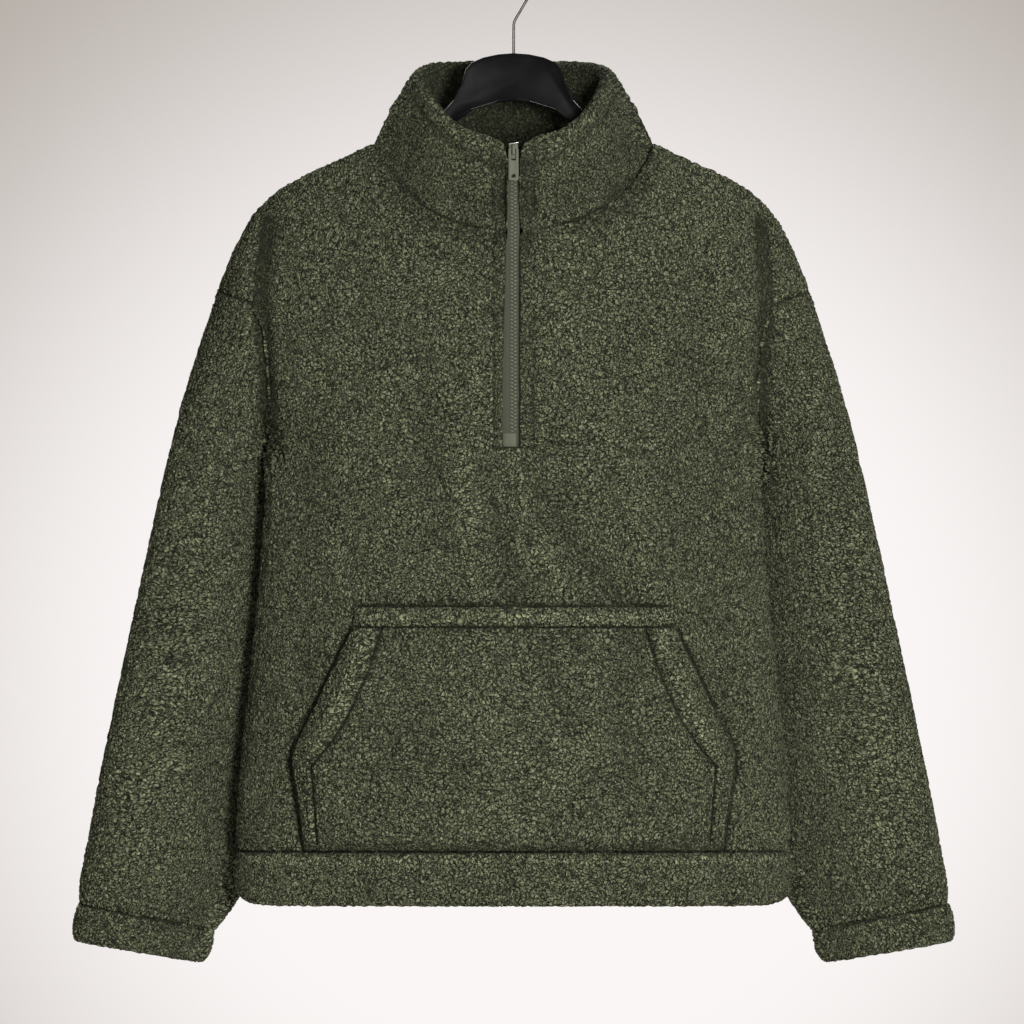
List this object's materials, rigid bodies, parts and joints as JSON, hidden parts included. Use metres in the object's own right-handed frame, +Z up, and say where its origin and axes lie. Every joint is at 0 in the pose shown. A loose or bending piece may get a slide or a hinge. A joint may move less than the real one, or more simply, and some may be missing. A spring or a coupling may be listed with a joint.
{
  "type": "half-zip pullover on a hanger",
  "caption": "Olive green sherpa fleece half-zip pullover with a stand collar, drop shoulders and a kangaroo pocket, hanging on a black plastic hanger with a wire hook.",
  "frame": {"origin": "inside of the hook's top, where it rests on a rail", "axes": "+X to the right as seen from the front, +Y to the back, +Z up"},
  "size_m": [0.8114, 0.1702, 0.9282],
  "materials": {
    "fleece": "matte",
    "tape": "matte",
    "painted_zip": "satin",
    "plastic": "satin",
    "wire": "polished"
  },
  "bodies": {
    "garment": {"front_panel": "fleece", "back_panel": "fleece", "sleeve_left": "fleece", "sleeve_right": "fleece", "cuff_left": "fleece", "cuff_right": "fleece", "hem_band": "fleece", "collar": "fleece", "kangaroo_pocket": "fleece", "zip_tape": "tape", "zip_slider": "painted_zip", "hanger": "plastic", "hanger_hook": "wire"},
    "zip_pull": {"zip_pull": "painted_zip"}
  },
  "joints": [
    {"name": "zip_pull_hinge", "type": "hinge", "parent": "garment", "child": "zip_pull", "pos_m": [0, -0.06025, -0.177], "axis": [-1, 0, 0], "range_deg": [0, 150]}
  ]
}
